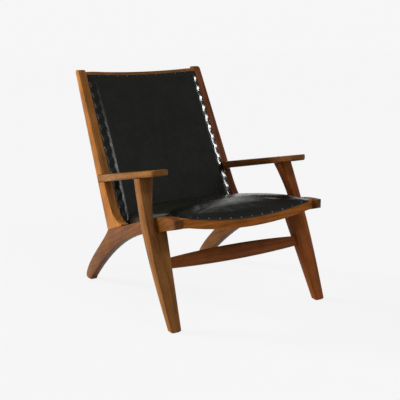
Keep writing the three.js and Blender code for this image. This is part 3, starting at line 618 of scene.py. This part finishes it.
def follow_back(row, share):
    """Moves the seat's rear rows to the rear in the middle, about as far as the back bows there."""
    late = clamp((share - FOLLOW_START) / (1 - FOLLOW_START), 0, 1)
    for point in row:
        point.y += SEAT_FOLLOW * bow_at(point.x, back_half_low) * smooth_step(late)
    return row


def seat_panel():
    rows = [seat_row(front_y, lambda x, y: front_edge(x)),
            seat_row(front_y, lambda x, y: (front_edge(x) + seat_z(x, y)) / 2)]
    for i in range(SEAT_ROWS + 1):
        share = i / SEAT_ROWS
        # Rows lie closer together on the front roll.
        depth = share + ROLL_CLOSENESS * share * (share - 1)
        rows.append(follow_back(seat_row(front_y + (rear_y - front_y) * depth, seat_z), share))
    rows.append([Vector((p.x, p.y, seat_low.z)) for p in rows[-1]])
    piece = sheet_from(rows, "seat_pad")
    held = []
    for i, row in enumerate(rows):
        ends = i < 3 or i > len(rows) - 3
        held += [ends or abs(p.x) > row[-1].x - SEAT_HELD for p in row]
    swell(piece, held, *SEAT_SWELL)
    upholster(piece, ["seat_leather", "seat_foam"])
    return piece


seat_pad = seat_panel()


# Nails: a low dome with a flat base, modelled once, then copied along each edge

def nail():
    bpy.ops.object.select_all(action="DESELECT")
    bpy.ops.mesh.primitive_uv_sphere_add(segments=10, ring_count=8, radius=NAIL_RADIUS)
    piece = bpy.context.active_object
    bpy.ops.object.mode_set(mode="EDIT")
    bpy.ops.mesh.select_all(action="SELECT")
    bpy.ops.mesh.bisect(plane_co=(0, 0, 0), plane_no=(0, 0, 1), clear_inner=True, use_fill=True)
    bpy.ops.mesh.select_all(action="SELECT")
    bpy.ops.transform.resize(value=(1, 1, NAIL_FLATNESS))
    bpy.ops.object.mode_set(mode="OBJECT")
    bpy.ops.object.shade_smooth_by_angle(angle=math.radians(NAIL_SMOOTH))
    return piece


def nail_row(pattern, name, places):
    """Copies the nail to each (point, outward direction) and joins the copies."""
    copies = []
    for point, outward in places:
        copy = pattern.copy()
        copy.data = pattern.data.copy()
        bpy.context.scene.collection.objects.link(copy)
        turn = outward.normalized().to_track_quat("Z", "Y").to_matrix().to_4x4()
        copy.data.transform(Matrix.Translation(point) @ turn)
        copies.append(copy)
    bpy.ops.object.select_all(action="DESELECT")
    for copy in copies:
        copy.select_set(True)
    bpy.context.view_layer.objects.active = copies[0]
    bpy.ops.object.join()
    row = bpy.context.active_object
    row.name = name
    row.data.name = name
    dress(row, nail_steel)
    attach(row, "root")


pattern = nail()
back_skin, seat_skin = surface_of(back_pad), surface_of(seat_pad)
# A ray that meets the leather gives a nail's point and the leather's normal there.
side_nails, top_nails = back_nails()
for name, row in (("back_side_nails", side_nails), ("back_top_nails", top_nails)):
    starts = [back_point(x, along, RAY_AWAY) for x, along in row]
    nail_row(pattern, name, [back_skin.ray_cast(start, -ahead_way)[:2] for start in starts])
front_count = int(SEAT_HALF / NAIL_PITCH)
front_places = []
for k in range(-front_count, front_count + 1):
    x = NAIL_PITCH * k
    start = Vector((x, front_y - RAY_AWAY, front_edge(x) + LEATHER + FRONT_NAIL_RISE))
    front_places.append(seat_skin.ray_cast(start, Vector((0, 1, 0)))[:2])
nail_row(pattern, "seat_front_nails", front_places)
side_places = []
y = front_y + NAIL_PITCH
while y < rear_y - LAST_NAIL:
    for side in (-1, 1):
        start = Vector((side * (seat_edge(y) - NAIL_INSET), y, RAY_LEVEL))
        side_places.append(seat_skin.ray_cast(start, down)[:2])
    y += NAIL_PITCH
nail_row(pattern, "seat_side_nails", side_places)
bpy.data.objects.remove(pattern)


# Linings: a cloth under the seat and one behind the back, tight between their rails

def lining(node_name, name):
    piece = copy_of(node_name, name, LINING_SMOOTH, quads=True)
    dress(piece, cambric)
    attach(piece, "root")
    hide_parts(node_name)


lining("seat_lining", "seat_dust_cover")
lining("back_lining", "back_lining_cloth")


# Floor, lights, world and camera

def studio_floor():
    bpy.ops.object.select_all(action="DESELECT")
    bpy.ops.mesh.primitive_plane_add(size=40)
    floor = bpy.context.active_object
    floor.name = "floor"
    material, tree = new_material("white_studio_paper")
    path = put(tree, "ShaderNodeLightPath")
    seen = put(tree, "ShaderNodeMath", {"operation": "MAXIMUM"}, n0=path.outputs["Is Camera Ray"],
               n1=path.outputs["Is Glossy Ray"]).outputs[0]
    seen = put(tree, "ShaderNodeMath", {"operation": "MAXIMUM"}, n0=seen,
               n1=path.outputs["Is Transmission Ray"]).outputs[0]
    # A ray that shows the floor to the eye or in a gloss sees pale paper with a faint shadow on it. Other
    # rays see grey, so that less light comes up from below.
    grey = put(tree, "ShaderNodeBsdfDiffuse", None, Color=linear("#b0b0b0")).outputs[0]
    white = put(tree, "ShaderNodeBsdfDiffuse", None, Color=linear("#f5f5f5")).outputs[0]
    glow = put(tree, "ShaderNodeEmission", None, Color=linear("#f7f7f7"), Strength=1.0).outputs[0]
    paper = put(tree, "ShaderNodeMixShader", None, Fac=0.93, n1=white, n2=glow).outputs[0]
    close_material(tree, put(tree, "ShaderNodeMixShader", None, Fac=seen, n1=grey, n2=paper))
    dress(floor, material)


def place_lamp(lamp, place, way):
    made = bpy.data.objects.new(lamp.name, lamp)
    bpy.context.scene.collection.objects.link(made)
    made.location = place
    made.rotation_mode = "QUATERNION"
    made.rotation_quaternion = Vector(way).to_track_quat("-Z", "Y")
    return made


def box_lamp(name, place, size, radiance):
    """A lit rectangle that faces the middle of the chair."""
    lamp = bpy.data.lights.new(name, "AREA")
    lamp.shape = "RECTANGLE"
    lamp.size, lamp.size_y = size
    lamp.spread = math.radians(100)
    lamp.energy = math.pi * size[0] * size[1] * radiance
    return place_lamp(lamp, place, CHAIR_MIDDLE - Vector(place))


def studio_lamps():
    # A broad, low key from behind on the left, which leaves the front and the right in shade
    key = bpy.data.lights.new("key", "SUN")
    key.energy = 4.8
    key.angle = math.radians(22)
    place_lamp(key, (0, 0, 0), (0.62, -0.72, -0.30)).visible_glossy = False
    # A slanting strip on the right that only shows in the back's leather, as the bright line along its edge
    strip = box_lamp("right_strip", (2.65, 0.40, 1.14), (1.2, 0.5), 9.0)
    strip.rotation_quaternion @= Quaternion((0, 0, 1), math.radians(-29))
    strip.visible_diffuse = False
    lit = bpy.data.collections.new("lit_by_strip")
    lit.objects.link(back_pad)
    strip.light_linking.receiver_collection = lit
    # A small box in front, which shows as the thin line along the back's left edge
    box_lamp("front_box", (0.18, -2.46, 2.79), (0.6, 0.6), 4.5)


def studio_world():
    world = bpy.data.worlds.new("studio")
    bpy.context.scene.world = world
    world.use_nodes = True
    tree = world.node_tree
    tree.nodes.clear()
    way = put(tree, "ShaderNodeTexCoord").outputs["Generated"]
    # The room is an even grey in front, and behind the chair it is bright near the floor and darker above.
    behind = put(tree, "ShaderNodeVectorMath", {"operation": "DOT_PRODUCT"}, n0=way,
                 n1=(0.60, 0.80, 0)).outputs["Value"]
    behind = put(tree, "ShaderNodeMapRange", {"interpolation_type": "SMOOTHSTEP"}, Value=behind,
                 From_Min=0.2, From_Max=0.8).outputs[0]
    height = put(tree, "ShaderNodeSeparateXYZ", None, Vector=way).outputs["Z"]
    low = put(tree, "ShaderNodeMapRange", {"interpolation_type": "SMOOTHSTEP"}, Value=height,
              From_Min=0.20, From_Max=0.50, To_Min=1.0, To_Max=0.0).outputs[0]
    tones = ((0, linear("#5c5c5c")), (1, linear("#f6f6f6")))
    rear = put(tree, "ShaderNodeValToRGB", {"stops": tones}, Fac=low).outputs[0]
    surround = put(tree, "ShaderNodeMix", {"data_type": "RGBA"}, n0=behind, n6=linear("#a0a0a0"),
                   n7=rear).outputs[2]
    # The eye sees a pale backdrop. A gloss shows it where it stands, and the darker room above it.
    path = put(tree, "ShaderNodeLightPath")
    seen = put(tree, "ShaderNodeMath", {"operation": "MAXIMUM"}, n0=path.outputs["Is Camera Ray"],
               n1=path.outputs["Is Transmission Ray"]).outputs[0]
    mirrored = put(tree, "ShaderNodeMath", {"operation": "MULTIPLY"}, n0=path.outputs["Is Glossy Ray"],
                   n1=low).outputs[0]
    seen = put(tree, "ShaderNodeMath", {"operation": "MAXIMUM"}, n0=seen, n1=mirrored).outputs[0]
    backdrop = put(tree, "ShaderNodeMix", {"data_type": "RGBA"}, n0=seen, n6=surround,
                   n7=linear("#f6f6f6")).outputs[2]
    glow = put(tree, "ShaderNodeBackground", None, Color=backdrop, Strength=1.0)
    put(tree, "ShaderNodeOutputWorld", None, Surface=glow.outputs[0])


def studio_camera():
    data = bpy.data.cameras.new("camera")
    data.sensor_width = 36
    data.lens = CAMERA_LENS
    camera = bpy.data.objects.new("camera", data)
    bpy.context.scene.collection.objects.link(camera)
    camera.location = CAMERA_PLACE
    look = Vector((-math.sin(CAMERA_AZIMUTH) * math.cos(CAMERA_ELEVATION),
                   math.cos(CAMERA_AZIMUTH) * math.cos(CAMERA_ELEVATION), -math.sin(CAMERA_ELEVATION)))
    camera.rotation_mode = "QUATERNION"
    camera.rotation_quaternion = look.to_track_quat("-Z", "Y")
    bpy.context.scene.camera = camera
    bpy.context.scene.view_settings.view_transform = "Standard"


studio_floor()
studio_lamps()
studio_world()
studio_camera()
